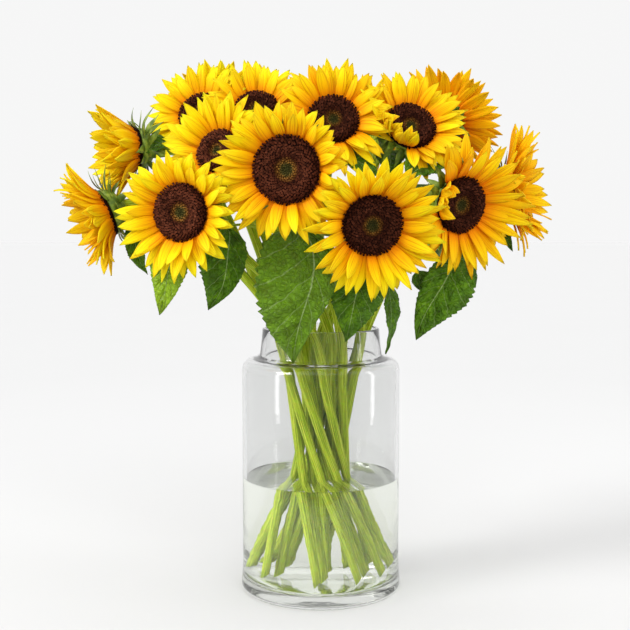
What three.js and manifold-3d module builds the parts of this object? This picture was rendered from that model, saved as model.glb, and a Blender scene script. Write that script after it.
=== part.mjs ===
// A bouquet of fifteen cut sunflowers in a clear glass jar vase with water.
// Millimetres, +Z up. The origin is the middle of the vase's flat underside, and the
// bouquet faces -Y.

import * as THREE from 'three';
import { mergeVertices } from 'three/addons/utils/BufferGeometryUtils.js';
import Module from 'manifold-3d';

const wasm = await Module();
wasm.setup();

// ---------------------------------------------------------------- driving dimensions

const VASE_HEIGHT = 250;
const BODY_RADIUS = 75;
const HEEL_RADIUS = 76.4;
const RIM_RADIUS = 55.5;
const NECK_RADIUS = 56.5;
const SHOULDER_TOP = 222;
const SHOULDER_ROUND = 12;
const WALL = 3.5;
const BASE_THICKNESS = 12;
const HEEL_ROUND = 5;
const VASE_SIDES = 28;
const WATER_LEVEL = 107.5;
const GAP = 0.3;

const STEM_RADIUS = 4.8;
const STEM_SIDES = 6;
const STEM_STEPS = 8;
const WAIST_HEIGHT = 138;
const STEM_FOOT = 14.5;
const NECK_POINT_HEIGHT = 250;
// Where a stem passes the narrowest place of the bundle: how far from the axis, and how
// far it leans there below and above.
const CENTRE = { radius: 0, leanDown: 0.04, leanUp: 0.08 };
const INNER = { radius: 11.6, leanDown: 0.27, leanUp: 0.18 };
const OUTER = { radius: 22.9, leanDown: 0.37, leanUp: 0.34 };

const PETALS = 18;
const DISC_DEPTH = 3;
const DISC_HEIGHT = 5;
const CALYX_DEPTH = 19;
const PETAL_THICKNESS = 1.3;
const PETAL_WIDTH = 13;
const LAYER_SPREAD = 9;
const BRACTS = 7;
const BRACT_LENGTH = 17;
const LEAF_THICKNESS = 1;
const LEAF_ARCH = 0.1;
const LEAF_FOLD = 0.12;
const PETIOLE_RADIUS = 1.7;
// Rows along a leaf: how far along, the width there, and how far the edge dips, which
// together give the outline its teeth and its waves.
const LEAF_ROWS = [
  [0, 0.1, 0], [0.1, 0.82, 0.8], [0.28, 0.92, 0], [0.42, 1.02, 1.6], [0.6, 0.68, 0],
  [0.76, 0.54, 1.2],
];
const SMALL_LEAF = 33;
const SMALL_LEAF_ROWS = [[0, 0.2, 0], [0.2, 0.9, 0.5], [0.5, 0.95, 0], [0.75, 0.5, 0.6]];

// Each sunflower: the middle of its disc, the way it faces, the disc's diameter, the
// length of its petals, how far they cup forward (degrees), its place in the bundle at the
// waist (ring and angle), and how far behind the head its stem bends.
const SUNFLOWERS = [
  ['01', [-29, -120, 392], [-0.2, -0.97, -0.08], 57, 32, 32, OUTER, -8, 34],
  ['02', [-119, -105, 357], [-0.33, -0.94, -0.02], 49, 32, 32, OUTER, -42, 34],
  ['03', [42, -125, 346], [0.2, -0.95, -0.22], 51, 35, 30, OUTER, 28, 30],
  ['04', [122, -75, 364], [0.48, -0.86, -0.2], 49, 38, 30, OUTER, 66, 30],
  ['05', [178, -4, 380], [0.92, -0.36, 0.08], 46, 42, 48, OUTER, 104, 36],
  ['06', [121, 51, 449], [0.42, 0.7, 0.5], 44, 38, 34, OUTER, 144, 26],
  ['07', [81, -35, 436], [0.2, -0.85, 0.45], 46, 33, 30, INNER, 60, 28],
  ['08', [11, -45, 441], [0.05, -0.93, 0.33], 46, 34, 30, CENTRE, -76, 34],
  ['09', [-60, -16, 454], [-0.05, -0.8, 0.6], 40, 35, 30, INNER, -84, 34],
  ['10', [-92, -60, 412], [-0.45, -0.8, 0.35], 40, 34, 32, INNER, -12, 34],
  ['11', [-116, 14, 454], [-0.35, -0.8, 0.45], 40, 34, 30, OUTER, -156, 24],
  ['12', [-104, 106, 476], [-0.15, 0.4, 0.9], 40, 34, 42, INNER, -156, 24],
  ['13', [-172, -20, 417], [-0.9, -0.4, -0.08], 40, 40, 70, OUTER, -114, 34],
  ['14', [-194, -50, 357], [-0.87, -0.32, -0.38], 44, 36, 62, OUTER, -78, 36],
  ['15', [48, 69, 445], [-0.05, 0.9, 0.4], 40, 34, 32, INNER, 132, 36],
].map(([id, at, faces, disc, petal, cup, ring, slot, neck]) => (
  { id, at, faces, disc, petal, cup, ring, slot, neck }));

// Each leaf: the sunflower it grows on, the height on the stem where its stalk leaves,
// the blade's foot and tip, its width, and the way its upper face looks.
const LEAVES = [
  ['02', 320, [-127, -78, 336], [-141, -84, 268], 34, [0, -1, 0.2]],
  ['10', 330, [-84, -58, 344], [-101, -64, 271], 46, [0.2, -1, 0.1]],
  ['01', 360, [-22, -84, 346], [-25, -67, 224], 72, [0, -1, 0.15]],
  ['03', 325, [43, -72, 318], [22, -66, 243], 50, [-0.15, -1, 0.1]],
  ['07', 330, [60, -50, 296], [58, -50, 230], 22, [0.8, -0.6, 0.1]],
  ['05', 300, [89, -34, 305], [100, -40, 277], 18, [0.2, -1, 0.2]],
  ['04', 330, [126, -44, 316], [87, -42, 242], 46, [-0.1, -1, 0.25]],
  ['08', 400, [16, -44, 408], [50, -66, 388], 32, [0, -0.6, 0.8]],
  ['07', 400, [100, -34, 404], [76, -64, 384], 34, [0.1, -0.6, 0.8]],
  ['15', 390, [66, -10, 416], [60, -38, 390], 28, [0, -0.6, 0.8]],
  ['10', 380, [-92, -70, 376], [-100, -82, 354], 16, [0, -1, 0.3]],
  ['13', 400, [-141, -16, 424], [-160, -34, 412], 22, [0, -0.8, 0.6]],
  ['14', 366, [-172, -44, 346], [-156, -50, 302], 20, [-0.3, -0.9, 0.1]],
  ['05', 366, [166, 0, 350], [181, -4, 322], 12, [0, -1, 0.3]],
  ['12', 400, [-64, 62, 400], [-80, 116, 348], 56, [0, 0.6, 0.8]],
  ['06', 390, [90, 54, 388], [126, 104, 340], 52, [0.3, 0.5, 0.8]],
  ['15', 350, [38, 50, 364], [34, 112, 312], 56, [0, 0.6, 0.8]],
  ['11', 370, [-96, 26, 372], [-150, 66, 326], 50, [-0.4, 0.5, 0.8]],
  ['09', 360, [-36, 34, 370], [-26, 96, 326], 50, [0, 0.5, 0.8]],
  ['05', 320, [112, 18, 326], [156, 62, 284], 46, [0.3, 0.4, 0.8]],
].map(([on, from, foot, tip, width, faces]) => ({ on, from, foot, tip, width, faces }));

// ---------------------------------------------------------------- materials

const MATERIALS = {
  glass: { color: 0xf2f6f6, roughness: 0.03, metalness: 0, transparent: true, opacity: 0.3 },
  water: { color: 0xe6f0ec, roughness: 0.02, metalness: 0, transparent: true, opacity: 0.4 },
  petals: { color: 0xffc20a, roughness: 0.6, metalness: 0 },
  disc: { color: 0x3b1a12, roughness: 0.9, metalness: 0 },
  green: { color: 0x6f9a35, roughness: 0.65, metalness: 0 },
};

function material(name) {
  return new THREE.MeshStandardMaterial(MATERIALS[name]);
}

// ---------------------------------------------------------------- solids

const Z_AXIS = new THREE.Vector3(0, 0, 1);
const TINY_VOLUME = 0.002;

function vec(p) {
  return new THREE.Vector3(p[0], p[1], p[2]);
}

function signedVolume(position, index) {
  const [a, b, c] = [new THREE.Vector3(), new THREE.Vector3(), new THREE.Vector3()];
  let volume = 0;
  for (let i = 0; i < index.length; i += 3) {
    a.fromArray(position, 3 * index[i]);
    b.fromArray(position, 3 * index[i + 1]);
    c.fromArray(position, 3 * index[i + 2]);
    volume += a.dot(b.cross(c)) / 6;
  }
  return volume;
}

// Turns a closed geometry into a solid whose faces point out.
function solidOf(geometry) {
  const bare = geometry.clone();
  for (const name of ['normal', 'uv']) {
    bare.deleteAttribute(name);
  }
  const merged = mergeVertices(bare, 1e-4);
  const position = Float32Array.from(merged.getAttribute('position').array);
  const triangles = [];
  for (let i = 0; i < merged.index.count; i += 3) {
    const [a, b, c] = [0, 1, 2].map((k) => merged.index.getX(i + k));
    if (a !== b && b !== c && c !== a) {
      triangles.push(a, b, c);
    }
  }
  if (signedVolume(position, triangles) < 0) {
    triangles.reverse();
  }
  const triVerts = Uint32Array.from(triangles);
  return new wasm.Manifold(new wasm.Mesh({ numProp: 3, vertProperties: position, triVerts }));
}

// The largest body of a solid: sealed hollows are filled and loose scraps are dropped.
function mainBody(solid) {
  return solid.decompose().sort((a, b) => b.volume() - a.volume())[0];
}

function meshOf(name, solid, finish) {
  const { vertProperties, triVerts } = mainBody(solid).getMesh();
  const geometry = new THREE.BufferGeometry();
  geometry.setAttribute('position', new THREE.BufferAttribute(vertProperties, 3));
  geometry.setIndex(new THREE.BufferAttribute(triVerts, 1));
  geometry.computeVertexNormals();
  const mesh = new THREE.Mesh(geometry, material(finish));
  mesh.name = name;
  return mesh;
}

function fuse(solids) {
  return solids.reduce((whole, piece) => whole.add(piece));
}

function boxesMeet(a, b) {
  const [p, q] = [a.boundingBox(), b.boundingBox()];
  return [0, 1, 2].every((k) => p.min[k] < q.max[k] && q.min[k] < p.max[k]);
}

function crosses(solid, others) {
  return others.some((o) => boxesMeet(solid, o) && solid.intersect(o).volume() > TINY_VOLUME);
}

// A closed skin over rings of points. Each ring has the same count, and `ribs` names the
// points on the midline, so that both faces of a blade are split along the same lines.
// The first ring is capped. The last is a single tip, or is capped too.
function skin(rings, ribs = []) {
  const count = rings[0].length;
  const index = [];
  for (let j = 1; j < count - 1; j += 1) {
    index.push(0, j + 1, j);
  }
  const ending = rings[rings.length - 1];
  const spans = ending.length === 1 ? rings.length - 2 : rings.length - 1;
  for (let i = 0; i < spans; i += 1) {
    for (let j = 0; j < count; j += 1) {
      const k = (j + 1) % count;
      const [a, b] = [i * count + j, i * count + k];
      const [c, d] = [a + count, b + count];
      if (ribs.includes(j)) {
        index.push(a, b, d, a, d, c);
      } else {
        index.push(a, b, c, b, d, c);
      }
    }
  }
  const last = spans * count;
  if (ending.length === 1) {
    for (let j = 0; j < count; j += 1) {
      index.push(last + j, last + ((j + 1) % count), last + count);
    }
  } else {
    for (let j = 1; j < count - 1; j += 1) {
      index.push(last, last + j, last + j + 1);
    }
  }
  const geometry = new THREE.BufferGeometry().setFromPoints(rings.flat());
  geometry.setIndex(index);
  return geometry;
}

// A round bar through a row of points, with its flats turned as little as can be.
function barSolid(spots, radius, sides) {
  const across = new THREE.Vector3(1, 0, 0);
  const rings = spots.map((spot, i) => {
    const before = spots[Math.max(i - 1, 0)];
    const after = spots[Math.min(i + 1, spots.length - 1)];
    const along = after.clone().sub(before).normalize();
    across.addScaledVector(along, -across.dot(along)).normalize();
    const third = new THREE.Vector3().crossVectors(along, across);
    return Array.from({ length: sides }, (_, k) => {
      const turn = (-2 * Math.PI * k) / sides;
      return spot.clone().addScaledVector(across, radius * Math.cos(turn))
        .addScaledVector(third, radius * Math.sin(turn));
    });
  });
  return solidOf(skin(rings));
}

function latheSolid(profile, sides) {
  const points = profile.map(([r, z]) => new THREE.Vector2(r, z));
  return solidOf(new THREE.LatheGeometry(points, sides).rotateX(Math.PI / 2));
}

// A number between -1 and 1 that looks random but depends only on its seeds.
function vary(a, b) {
  const wave = Math.sin(a * 12.9898 + b * 78.233) * 43758.5453;
  return 2 * (wave - Math.floor(wave)) - 1;
}

// ---------------------------------------------------------------- the vase and its water

// Points of a quarter circle round (r, z), from one angle to another, in degrees.
function arc(r, z, radius, from, to, steps) {
  const points = [];
  for (let i = 0; i <= steps; i += 1) {
    const turn = THREE.MathUtils.degToRad(from + ((to - from) * i) / steps);
    points.push([r + radius * Math.cos(turn), z + radius * Math.sin(turn)]);
  }
  return points;
}

function vaseSolid() {
  const shoulderCentre = BODY_RADIUS - SHOULDER_ROUND;
  const shoulderBottom = SHOULDER_TOP - SHOULDER_ROUND;
  const lip = 0.8;
  const outside = [
    [0, 0],
    ...arc(HEEL_RADIUS - HEEL_ROUND, HEEL_ROUND, HEEL_ROUND, -90, 0, 2),
    [BODY_RADIUS, 2.4 * BASE_THICKNESS],
    ...arc(shoulderCentre, shoulderBottom, SHOULDER_ROUND, 0, 90, 3),
    [NECK_RADIUS + 1.5, SHOULDER_TOP + 3],
    [RIM_RADIUS, VASE_HEIGHT - lip],
    [RIM_RADIUS - lip, VASE_HEIGHT],
  ];
  const inside = [
    [RIM_RADIUS - WALL, VASE_HEIGHT - lip],
    [NECK_RADIUS - WALL, SHOULDER_TOP + 3],
    [shoulderCentre - 2, SHOULDER_TOP - WALL],
    ...arc(shoulderCentre, shoulderBottom, SHOULDER_ROUND - WALL, 90, 0, 2).slice(1),
    [BODY_RADIUS - WALL, BASE_THICKNESS + HEEL_ROUND],
    [BODY_RADIUS - WALL - HEEL_ROUND, BASE_THICKNESS],
    [0, BASE_THICKNESS],
  ];
  return latheSolid(outside.concat(inside), VASE_SIDES);
}

function waterSolid(holes) {
  const radius = BODY_RADIUS - WALL - GAP;
  const floor = BASE_THICKNESS + GAP;
  const profile = [
    [0, floor],
    [radius - HEEL_ROUND, floor],
    [radius, floor + HEEL_ROUND],
    [radius, WATER_LEVEL],
    [0, WATER_LEVEL],
  ];
  return holes.reduce((water, hole) => water.subtract(hole), latheSolid(profile, VASE_SIDES));
}

// ---------------------------------------------------------------- stems

// The stem runs straight from its foot to the waist of the bundle, and from there on
// one smooth curve through the neck of the vase to the back of its head.
function stemLine(flower) {
  const turn = THREE.MathUtils.degToRad(flower.slot);
  const { radius, leanDown, leanUp } = flower.ring;
  const along = new THREE.Vector3(Math.sin(turn), -Math.cos(turn), 0);
  const waist = new THREE.Vector3(Math.cos(turn), Math.sin(turn), 0)
    .multiplyScalar(radius).setZ(WAIST_HEIGHT);
  return (z) => {
    const rise = z - WAIST_HEIGHT;
    const lean = rise < 0 ? leanDown : leanUp;
    return waist.clone().addScaledVector(along, lean * rise).setZ(z);
  };
}

function stemSpots(flower) {
  const onLine = stemLine(flower);
  const facing = vec(flower.faces).normalize();
  const behindHead = (reach) => vec(flower.at).addScaledVector(facing, -reach);
  const bend = behindHead(CALYX_DEPTH + flower.neck);
  bend.z -= 0.3 * flower.neck;
  const upper = new THREE.CatmullRomCurve3(
    [onLine(WAIST_HEIGHT), onLine((WAIST_HEIGHT + NECK_POINT_HEIGHT) / 2),
      onLine(NECK_POINT_HEIGHT), bend, behindHead(CALYX_DEPTH)],
    false,
    'centripetal',
  );
  return [onLine(STEM_FOOT), ...upper.getSpacedPoints(STEM_STEPS)];
}

function stemRadius(flower) {
  return STEM_RADIUS * (1 + 0.05 * vary(Number(flower.id), 3));
}

function stemSolid(spots, flower) {
  return barSolid(spots, stemRadius(flower), STEM_SIDES);
}

function holeSolid(flower) {
  const onLine = stemLine(flower);
  const ends = [onLine(BASE_THICKNESS - 8), onLine(WAIST_HEIGHT)];
  return barSolid(ends, (stemRadius(flower) + GAP) / Math.cos(Math.PI / STEM_SIDES), STEM_SIDES);
}

// ---------------------------------------------------------------- flower heads

// A head's own frame: +Z is the way it faces, +Y is up across its face.
function headFrame(flower) {
  const facing = vec(flower.faces).normalize();
  const right = new THREE.Vector3().crossVectors(Z_AXIS, facing).normalize();
  const up = new THREE.Vector3().crossVectors(facing, right);
  return new THREE.Matrix4().makeBasis(right, up, facing).setPosition(vec(flower.at));
}

function placed(solid, frame) {
  return solid.transform(frame.toArray());
}

// Moves the points of a lathed ring in or out (by `factor`) and up or down (by `lift`).
function shapeSlices(profile, sides, change) {
  const points = profile.map(([r, z]) => new THREE.Vector2(r, z));
  const geometry = new THREE.LatheGeometry(points, sides).rotateX(Math.PI / 2);
  const position = geometry.getAttribute('position');
  for (let i = 0; i < position.count; i += 1) {
    const slice = Math.floor(i / profile.length) % sides;
    const { factor, lift } = change(i % profile.length, slice % 2 === 0);
    position.setX(i, factor * position.getX(i));
    position.setY(i, factor * position.getY(i));
    position.setZ(i, lift + position.getZ(i));
  }
  return solidOf(geometry);
}

// The disc's florets: a cushion with a sunk eye, whose rings stand alternately high and
// low, with a serrated rim.
function discSolid(flower) {
  const radius = flower.disc / 2;
  const profile = [
    [0, -DISC_DEPTH],
    [radius, -DISC_DEPTH],
    [radius, 0.5 * DISC_HEIGHT],
    [0.74 * radius, DISC_HEIGHT],
    [0.36 * radius, 0.6 * DISC_HEIGHT],
    [0, 0.25 * DISC_HEIGHT],
  ];
  return shapeSlices(profile, PETALS, (row, even) => {
    if (row === 2) {
      return { factor: even ? 1 : 0.92, lift: even ? 0.5 : -0.5 };
    }
    const relief = row === 3 || row === 4;
    const high = even === (row === 4);
    return { factor: 1, lift: relief ? (high ? 0.8 : -0.8) : 0 };
  });
}

// The green cup behind the head. Its rim is drawn out into pointed bracts, two to a gap:
// a long one on every other slice, and short ones between, a little further back.
function calyxSolid(flower) {
  const radius = flower.disc / 2;
  const top = -DISC_DEPTH - GAP;
  const profile = [
    [0, -CALYX_DEPTH - 3],
    [STEM_RADIUS + 0.6, -CALYX_DEPTH - 2],
    [0.62 * radius, -0.7 * CALYX_DEPTH],
    [radius - 1, top - 4],
    [radius - 1, top],
    [0, top],
  ];
  const long = 1 + BRACT_LENGTH / radius;
  return shapeSlices(profile, 2 * BRACTS, (row, even) => {
    if (row === 3) {
      return { factor: even ? long : 0.94, lift: even ? -0.45 * BRACT_LENGTH : 0 };
    }
    if (row === 2) {
      return { factor: even ? 0.9 : 1.55, lift: even ? 0 : -1.5 };
    }
    return { factor: 1, lift: 0 };
  });
}

// The room that the roots of a head's petals need. Other heads' petals and leaves keep
// out of it.
function rootRoom(flower) {
  const radius = flower.disc / 2;
  const profile = [
    [0, -DISC_DEPTH - 1],
    [radius + 3, -DISC_DEPTH - 1],
    [radius + 12, 1],
    [radius + 10, 2 * DISC_HEIGHT],
    [0, 2 * DISC_HEIGHT],
  ];
  return latheSolid(profile, PETALS);
}

// The rings of a petal in its head's frame. It leaves the disc's edge at `turn`, rises at
// `rise` from the plane of the disc, and bends back by `curl` towards its tip.
function petalRings(petal, fat) {
  const rows = [0, 0.34, 0.7, 1];
  const widths = [0.5, 1, 0.8];
  const fold = 1.3;
  const half = PETAL_THICKNESS / 2 + fat;
  const out = new THREE.Vector3(Math.cos(petal.turn), Math.sin(petal.turn), 0);
  const side = new THREE.Vector3(-out.y, out.x, 0);
  const middle = out.clone().multiplyScalar(petal.root).setZ(-DISC_DEPTH / 2);
  return rows.map((row, i) => {
    const angle = petal.rise - petal.curl * row;
    const run = i === 0 ? 0 : (row - rows[i - 1]) * (petal.length + fat);
    middle.addScaledVector(out, run * Math.cos(angle));
    middle.z += run * Math.sin(angle);
    if (row === 1) {
      return [middle.clone().addScaledVector(side, petal.sway)];
    }
    const normal = out.clone().multiplyScalar(-Math.sin(angle)).setZ(Math.cos(angle));
    const wide = (petal.width * widths[i]) / 2 + fat;
    const point = (way, level) => middle.clone().addScaledVector(side, way * wide)
      .addScaledVector(normal, level);
    const lift = fold * widths[i];
    return [point(1, lift), point(0, half), point(-1, lift), point(0, -half)];
  });
}

const PETAL_WAYS = [];
for (const scale of [1, 0.86, 0.72, 0.58, 0.44, 0.3]) {
  for (const bend of [0, 9, -9, 18, -16, 28]) {
    PETAL_WAYS.push({ scale, bend: THREE.MathUtils.degToRad(bend) });
  }
}

function petalShape(flower, number, way) {
  const seed = Number(flower.id);
  const spread = number % 2 === 0 ? LAYER_SPREAD : -LAYER_SPREAD;
  const rise = flower.cup + spread + 4 * vary(seed + 3, number);
  return {
    turn: (2 * Math.PI * (number + 0.5 + 0.1 * vary(seed, number))) / PETALS,
    root: flower.disc / 2 + 2,
    length: flower.petal * way.scale * (1 + 0.1 * vary(seed + 7, number)),
    width: PETAL_WIDTH * (1 + 0.06 * vary(seed + 5, number)),
    rise: THREE.MathUtils.degToRad(rise) + way.bend,
    curl: THREE.MathUtils.degToRad(14 + 10 * vary(seed + 9, number)),
    sway: 1.6 * vary(seed + 11, number),
  };
}

// The length and bend of each petal that keep it clear of all that stands there.
function petalShapes(flower, frame, obstacles) {
  const shapes = [];
  const blades = [];
  for (let number = 0; number < PETALS; number += 1) {
    const solidFor = (way, fat, firstRing) => {
      const rings = petalRings(petalShape(flower, number, way), fat).slice(firstRing);
      return placed(solidOf(skin(rings, [1, 3])), frame);
    };
    const neighbours = number === PETALS - 1 ? blades : blades.slice(-2);
    const way = PETAL_WAYS.find((w) => (
      !crosses(solidFor(w, GAP, 0), obstacles) && !crosses(solidFor(w, 0, 1), neighbours)));
    if (!way) {
      throw new Error(`no room for petal ${number} of sunflower ${flower.id}`);
    }
    blades.push(solidFor(way, 0, 1));
    shapes.push(petalShape(flower, number, way));
  }
  return shapes;
}

// All petals of a head and the narrow ring that holds them, as one skin. Neighbouring
// petals share the corners of their roots.
function corollaSolid(flower, shapes) {
  const inner = flower.disc / 2 + 0.5;
  const corner = (k, radius, z) => {
    const turn = (2 * Math.PI * k) / PETALS;
    return new THREE.Vector3(radius * Math.cos(turn), radius * Math.sin(turn), z);
  };
  const middle = -DISC_DEPTH / 2;
  const points = [];
  const index = [];
  const perPetal = 14;
  shapes.forEach((shape, k) => {
    const [, near, far, tip] = petalRings(shape, 0);
    const outer = inner + 1.5;
    points.push(
      corner(k, inner, 0.2),
      corner(k, inner, -DISC_DEPTH),
      corner(k, outer, middle),
      corner(k + 0.5, outer + 0.6, middle + PETAL_THICKNESS / 2),
      corner(k + 0.5, outer + 0.6, middle - PETAL_THICKNESS / 2),
      ...near, ...far, ...tip,
    );
    const [i0, j0, o0, top, bottom] = [0, 1, 2, 3, 4].map((n) => perPetal * k + n);
    const [i1, j1, o1] = [0, 1, 2].map((n) => perPetal * ((k + 1) % PETALS) + n);
    index.push(i0, i1, j1, i0, j1, j0);
    index.push(i0, o0, top, i0, top, i1, i1, top, o1);
    index.push(j0, bottom, o0, j0, j1, bottom, j1, o1, bottom);
    const first = perPetal * k + 5;
    const rows = [[o1, top, o0, bottom], [0, 1, 2, 3].map((n) => first + n),
      [4, 5, 6, 7].map((n) => first + n)];
    for (let row = 0; row < 2; row += 1) {
      for (let n = 0; n < 4; n += 1) {
        const next = (n + 1) % 4;
        const [a, b] = [rows[row][n], rows[row][next]];
        const [c, d] = [rows[row + 1][n], rows[row + 1][next]];
        if (n % 2 === 1) {
          index.push(a, b, d, a, d, c);
        } else {
          index.push(a, b, c, b, d, c);
        }
      }
    }
    for (let n = 0; n < 4; n += 1) {
      index.push(rows[2][n], rows[2][(n + 1) % 4], first + 8);
    }
  });
  const geometry = new THREE.BufferGeometry().setFromPoints(points);
  geometry.setIndex(index);
  return solidOf(geometry);
}

// ---------------------------------------------------------------- leaves

// A leaf with its stalk, which starts in the middle of the stem. The blade is pointed,
// arched, folded a little along its rib, and toothed along both edges.
function leafAt(leaf, shift, spots, fat) {
  const foot = vec(leaf.foot).add(shift);
  const tip = vec(leaf.tip).add(shift);
  const along = tip.clone().sub(foot);
  const length = along.length();
  along.normalize();
  const side = new THREE.Vector3().crossVectors(along, vec(leaf.faces)).normalize();
  const normal = new THREE.Vector3().crossVectors(side, along);
  const section = (middle, turn, wide, lift, half) => {
    const [across, face] = [side, normal].map((v) => v.clone().applyQuaternion(turn));
    const point = (way, level) => middle.clone().addScaledVector(across, way * wide)
      .addScaledVector(face, (way === 0 ? 0 : lift) + level);
    return [point(1, half), point(0, half), point(-1, half),
      point(-1, -half), point(0, -half), point(1, -half)];
  };
  const turnTo = (way) => new THREE.Quaternion().setFromUnitVectors(along, way);
  const start = pointAtHeight(spots, leaf.from);
  const bow = start.clone().lerp(foot, 0.6);
  bow.z += 0.12 * start.distanceTo(foot);
  const leaving = bow.clone().sub(start).normalize();
  const arriving = foot.clone().sub(bow).normalize();
  const stalk = PETIOLE_RADIUS + fat;
  const rings = [
    section(start, turnTo(leaving), stalk, 0, stalk),
    section(bow, turnTo(arriving), stalk, 0, stalk),
  ];
  const rows = leaf.width < SMALL_LEAF ? SMALL_LEAF_ROWS : LEAF_ROWS;
  rows.forEach(([row, width, edge], i) => {
    const middle = foot.clone().addScaledVector(along, row * length)
      .addScaledVector(normal, LEAF_ARCH * length * 4 * row * (1 - row));
    const lift = LEAF_FOLD * leaf.width * width - edge;
    const turn = turnTo(i === 0 ? arriving.clone().add(along).normalize() : along);
    const wide = (leaf.width * width) / 2 + fat;
    rings.push(section(middle, turn, wide, lift, LEAF_THICKNESS / 2 + fat));
  });
  return solidOf(skin(rings.concat([[tip]]), [1, 4]));
}

// Where a stem crosses a height, above the waist of the bundle.
function pointAtHeight(spots, z) {
  for (let i = 2; i < spots.length; i += 1) {
    const [low, high] = [spots[i - 1], spots[i]];
    if (low.z <= z && z <= high.z) {
      return low.clone().lerp(high, (z - low.z) / (high.z - low.z));
    }
  }
  return spots[spots.length - 2].clone();
}

const LEAF_SHIFTS = [];
for (const reach of [0, 4, 8, 13, 19]) {
  for (const way of [[0, -1, 0], [0, 1, 0], [1, 0, 0], [-1, 0, 0], [0, 0, 1], [0, 0, -1]]) {
    LEAF_SHIFTS.push(vec(way).multiplyScalar(reach));
  }
}

function leafSolid(leaf, spots, obstacles) {
  const shift = LEAF_SHIFTS.find((s) => !crosses(leafAt(leaf, s, spots, GAP), obstacles));
  if (!shift) {
    throw new Error(`no room for the leaf at ${leaf.foot} on sunflower ${leaf.on}`);
  }
  return leafAt(leaf, shift, spots, 0);
}

// ---------------------------------------------------------------- the whole bouquet

const vase = vaseSolid();
const plants = SUNFLOWERS.map((flower) => {
  const frame = headFrame(flower);
  const spots = stemSpots(flower);
  return {
    flower,
    frame,
    spots,
    green: [stemSolid(spots, flower), placed(calyxSolid(flower), frame)],
    disc: placed(discSolid(flower), frame),
    room: placed(rootRoom(flower), frame),
    petals: [],
  };
});

function othersOf(plant) {
  const others = plants.filter((p) => p !== plant);
  return [vase, ...others.flatMap((p) => [...p.green, p.room, ...p.petals])];
}

for (const leaf of LEAVES) {
  const plant = plants.find((p) => p.flower.id === leaf.on);
  plant.green.push(leafSolid(leaf, plant.spots, [...othersOf(plant), plant.room]));
}
for (const plant of plants) {
  const obstacles = [...othersOf(plant), ...plant.green];
  const shapes = petalShapes(plant.flower, plant.frame, obstacles);
  plant.petals.push(placed(corollaSolid(plant.flower, shapes), plant.frame));
}

const group = new THREE.Group();
group.add(meshOf('glass_vase', vase, 'glass'));
group.add(meshOf('water', waterSolid(SUNFLOWERS.map(holeSolid)), 'water'));
for (const { flower, green, disc, petals } of plants) {
  const name = `sunflower_${flower.id}`;
  group.add(meshOf(`${name}_petals`, fuse(petals), 'petals'));
  group.add(meshOf(`${name}_disc`, disc, 'disc'));
  group.add(meshOf(`${name}_leafy_stem`, fuse(green), 'green'));
}

export default group;
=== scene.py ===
import math
from functools import partial

import bpy
import numpy as np
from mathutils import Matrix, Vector


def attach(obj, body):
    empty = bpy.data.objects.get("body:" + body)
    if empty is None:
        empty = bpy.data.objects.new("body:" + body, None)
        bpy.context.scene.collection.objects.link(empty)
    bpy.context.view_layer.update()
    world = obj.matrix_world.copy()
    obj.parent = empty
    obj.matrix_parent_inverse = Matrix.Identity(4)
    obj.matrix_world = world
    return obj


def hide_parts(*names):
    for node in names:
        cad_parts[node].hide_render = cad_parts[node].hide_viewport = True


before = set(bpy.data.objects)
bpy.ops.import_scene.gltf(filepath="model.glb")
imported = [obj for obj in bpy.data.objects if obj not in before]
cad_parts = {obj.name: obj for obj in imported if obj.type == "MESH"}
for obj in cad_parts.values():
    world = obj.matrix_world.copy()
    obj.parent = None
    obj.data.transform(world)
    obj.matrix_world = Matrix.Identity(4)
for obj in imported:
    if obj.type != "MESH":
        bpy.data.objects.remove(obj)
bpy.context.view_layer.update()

# ---------------------------------------------------------------- camera
# A portrait lens about a metre in front of the vase, a little above the middle of the
# bouquet and tilted down by a few degrees.
MM = 0.001
PICTURE_WIDTH = 630
FOCAL_PIXELS = 1070
CAMERA_AT = (-5.5 * MM, -1015 * MM, 339 * MM)
CAMERA_TILT = 4.35

bpy.ops.object.camera_add(location=CAMERA_AT, rotation=(math.radians(90 - CAMERA_TILT), 0, 0))
camera = bpy.context.object
camera.data.lens = FOCAL_PIXELS / PICTURE_WIDTH * camera.data.sensor_width
scene = bpy.context.scene
scene.camera = camera
scene.view_settings.view_transform = "Standard"

# ---------------------------------------------------------------- floor and light
# A plain pale studio table that runs back into equally pale air. A broad soft key light
# stands at the left and front, and its shadow falls faintly to the right.
TABLE_WIDTH = 30.0
TABLE_FRONT = -0.42
TABLE_BACK = 40.0
TABLE_TONE = 0.64
# The far tone is painted shade: the floor darkens away from the vase so that it meets the air
# without a seam.
TABLE_FAR_TONE = 0.617
TABLE_FADES = (0.35, 1.6)
AIR_BEHIND = 0.925
AIR_ABOVE = 1.15
AIR_IN_FRONT = 0.33
LIT_SPOT = (0, 0, 0.3)
# Each sun: the way to it, its strength and how many degrees wide it is.
SUNS = [("soft_key", (-0.74, -0.38, 0.56), 1.7, 22), ("soft_fill", (0.15, -0.95, 0.26), 2.0, 70)]
# Each strip: its place, width, height and power.
STRIPS = [
    ("left_strip", (-1.15, -0.55, 0.55), 0.16, 1.1, 2.4),
    ("right_strip", (1.2, -0.25, 0.5), 0.12, 1.0, 1.8),
]
LIGHT_BOUNCES = 28


def new_material(name):
    """A material, its node tree and its one Principled shader."""
    made = bpy.data.materials.new(name)
    made.use_nodes = True
    return made, made.node_tree, made.node_tree.nodes["Principled BSDF"]


def feed(tree, node, inputs):
    """Sets a node's inputs. Each is a plain value, or another node's output to link."""
    for name, value in inputs.items():
        if isinstance(value, bpy.types.NodeSocket):
            tree.links.new(value, node.inputs[name])
        else:
            node.inputs[name].default_value = value


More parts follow.
